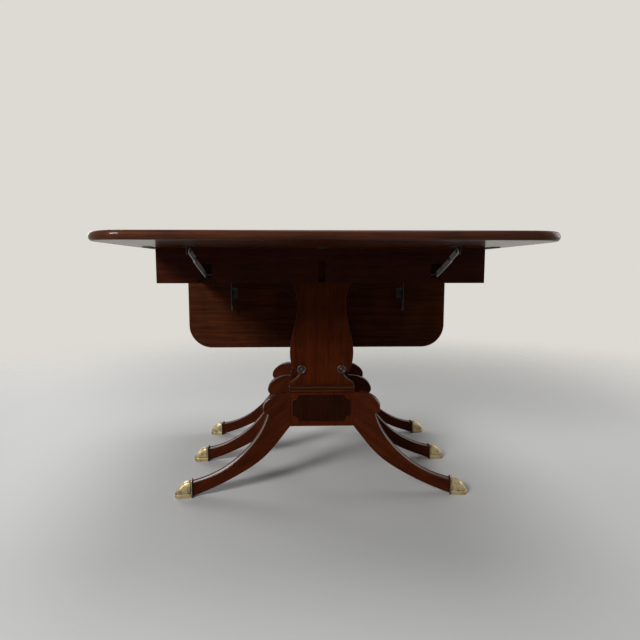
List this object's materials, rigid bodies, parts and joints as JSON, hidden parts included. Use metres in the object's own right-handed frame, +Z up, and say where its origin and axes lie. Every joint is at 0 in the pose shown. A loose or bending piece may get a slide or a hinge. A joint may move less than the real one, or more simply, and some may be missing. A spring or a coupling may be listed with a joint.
{
  "type": "drop-leaf dining table",
  "caption": "Mahogany dining table with hinged drop leaves on folding steel stays, a bed that draws out on slides, and pedestals with sabre legs and brass toe caps.",
  "frame": {"origin": "on the floor under the middle of the object's bounding box", "axes": "+Z up, +X along the hinge lines, the raised leaf to -Y and the hanging leaf to +Y"},
  "size_m": [1.016, 0.943, 0.741],
  "materials": {
    "mahogany": "gloss",
    "panel_veneer": "gloss",
    "rosette_wood": "gloss",
    "inner_wood": "matte",
    "brass": "satin",
    "stay_steel": "satin",
    "hinge_steel": "satin"
  },
  "bodies": {
    "centre": {"centre_slab": "mahogany", "centre_bearer": "mahogany", "slide_rails": "inner_wood", "centre_rosettes": "rosette_wood", "centre_reeded_band": "mahogany", "centre_block": "mahogany", "centre_block_panels": "panel_veneer", "centre_leg_left": "mahogany", "centre_leg_right": "mahogany", "centre_toe_caps": "brass"},
    "front_half": {"front_bed_top": "mahogany", "front_end_apron": "mahogany", "front_side_aprons": "mahogany", "front_corner_blocks": "inner_wood", "front_head_block": "inner_wood", "front_slab": "mahogany", "front_slide_runners": "inner_wood", "front_bed_hinge_plates": "hinge_steel", "front_bed_hinge_screws": "hinge_steel", "front_pivot_pins": "hinge_steel", "front_rosettes": "rosette_wood", "front_reeded_band": "mahogany", "front_block": "mahogany", "front_block_panels": "panel_veneer", "front_leg_left": "mahogany", "front_leg_right": "mahogany", "front_toe_caps": "brass"},
    "front_leaf_assembly": {"front_leaf": "mahogany", "front_leaf_hinge_plates": "hinge_steel", "front_leaf_screws": "hinge_steel", "front_stay_brackets": "stay_steel"},
    "front_stay_lower_left": {"front_stay_lower_left": "stay_steel"},
    "front_stay_lower_right": {"front_stay_lower_right": "stay_steel"},
    "front_stay_upper_left": {"front_stay_upper_left": "stay_steel"},
    "front_stay_upper_right": {"front_stay_upper_right": "stay_steel"},
    "rear_half": {"rear_bed_top": "mahogany", "rear_end_apron": "mahogany", "rear_side_aprons": "mahogany", "rear_corner_blocks": "inner_wood", "rear_head_block": "inner_wood", "rear_slab": "mahogany", "rear_slide_runners": "inner_wood", "rear_bed_hinge_plates": "hinge_steel", "rear_bed_hinge_screws": "hinge_steel", "rear_pivot_pins": "hinge_steel", "rear_rosettes": "rosette_wood", "rear_reeded_band": "mahogany", "rear_block": "mahogany", "rear_block_panels": "panel_veneer", "rear_leg_left": "mahogany", "rear_leg_right": "mahogany", "rear_toe_caps": "brass"},
    "rear_leaf_assembly": {"rear_leaf": "mahogany", "rear_leaf_hinge_plates": "hinge_steel", "rear_leaf_screws": "hinge_steel", "rear_stay_brackets": "stay_steel"},
    "rear_stay_lower_left": {"rear_stay_lower_left": "stay_steel"},
    "rear_stay_lower_right": {"rear_stay_lower_right": "stay_steel"},
    "rear_stay_upper_left": {"rear_stay_upper_left": "stay_steel"},
    "rear_stay_upper_right": {"rear_stay_upper_right": "stay_steel"}
  },
  "joints": [
    {"name": "front_draw", "type": "slide", "parent": "centre", "child": "front_half", "axis": [0, -1, 0], "range_m": [0, 0.3]},
    {"name": "rear_draw", "type": "slide", "parent": "centre", "child": "rear_half", "axis": [0, 1, 0], "range_m": [0, 0.3]},
    {"name": "front_leaf_hinge", "type": "hinge", "parent": "front_half", "child": "front_leaf_assembly", "pos_m": [0, -0.0965, 0.725], "axis": [1, 0, 0], "range_deg": [0, 90]},
    {"name": "rear_leaf_hinge", "type": "hinge", "parent": "rear_half", "child": "rear_leaf_assembly", "pos_m": [0, 0.4555, 0.725], "axis": [1, 0, 0], "range_deg": [0, 90]},
    {"name": "front_stay_lower_left_pivot", "type": "hinge", "parent": "front_half", "child": "front_stay_lower_left", "pos_m": [0, -0.0615, 0.647], "axis": [1, 0, 0], "range_deg": [0, 107.09]},
    {"name": "front_stay_upper_left_pivot", "type": "hinge", "parent": "front_leaf_assembly", "child": "front_stay_upper_left", "pos_m": [0, -0.2535, 0.706], "axis": [1, 0, 0], "range_deg": [-147.97, 0]},
    {"name": "front_stay_lower_right_pivot", "type": "hinge", "parent": "front_half", "child": "front_stay_lower_right", "pos_m": [0, -0.0615, 0.647], "axis": [1, 0, 0], "range_deg": [0, 107.09]},
    {"name": "front_stay_upper_right_pivot", "type": "hinge", "parent": "front_leaf_assembly", "child": "front_stay_upper_right", "pos_m": [0, -0.2535, 0.706], "axis": [1, 0, 0], "range_deg": [-147.97, 0]},
    {"name": "rear_stay_lower_left_pivot", "type": "hinge", "parent": "rear_half", "child": "rear_stay_lower_left", "pos_m": [0, 0.4205, 0.647], "axis": [1, 0, 0], "range_deg": [0, 107.09]},
    {"name": "rear_stay_upper_left_pivot", "type": "hinge", "parent": "rear_leaf_assembly", "child": "rear_stay_upper_left", "pos_m": [0, 0.4365, 0.568], "axis": [1, 0, 0], "range_deg": [-147.97, 0]},
    {"name": "rear_stay_lower_right_pivot", "type": "hinge", "parent": "rear_half", "child": "rear_stay_lower_right", "pos_m": [0, 0.4205, 0.647], "axis": [1, 0, 0], "range_deg": [0, 107.09]},
    {"name": "rear_stay_upper_right_pivot", "type": "hinge", "parent": "rear_leaf_assembly", "child": "rear_stay_upper_right", "pos_m": [0, 0.4365, 0.568], "axis": [1, 0, 0], "range_deg": [-147.97, 0]}
  ],
  "couplings": [
    {"joint": "front_stay_lower_left_pivot", "follows": "front_leaf_hinge", "ratio": 1.1898},
    {"joint": "front_stay_upper_left_pivot", "follows": "front_leaf_hinge", "ratio": -1.644},
    {"joint": "front_stay_lower_right_pivot", "follows": "front_leaf_hinge", "ratio": 1.1898},
    {"joint": "front_stay_upper_right_pivot", "follows": "front_leaf_hinge", "ratio": -1.644},
    {"joint": "rear_stay_lower_left_pivot", "follows": "rear_leaf_hinge", "ratio": 1.1898},
    {"joint": "rear_stay_upper_left_pivot", "follows": "rear_leaf_hinge", "ratio": -1.644},
    {"joint": "rear_stay_lower_right_pivot", "follows": "rear_leaf_hinge", "ratio": 1.1898},
    {"joint": "rear_stay_upper_right_pivot", "follows": "rear_leaf_hinge", "ratio": -1.644}
  ]
}
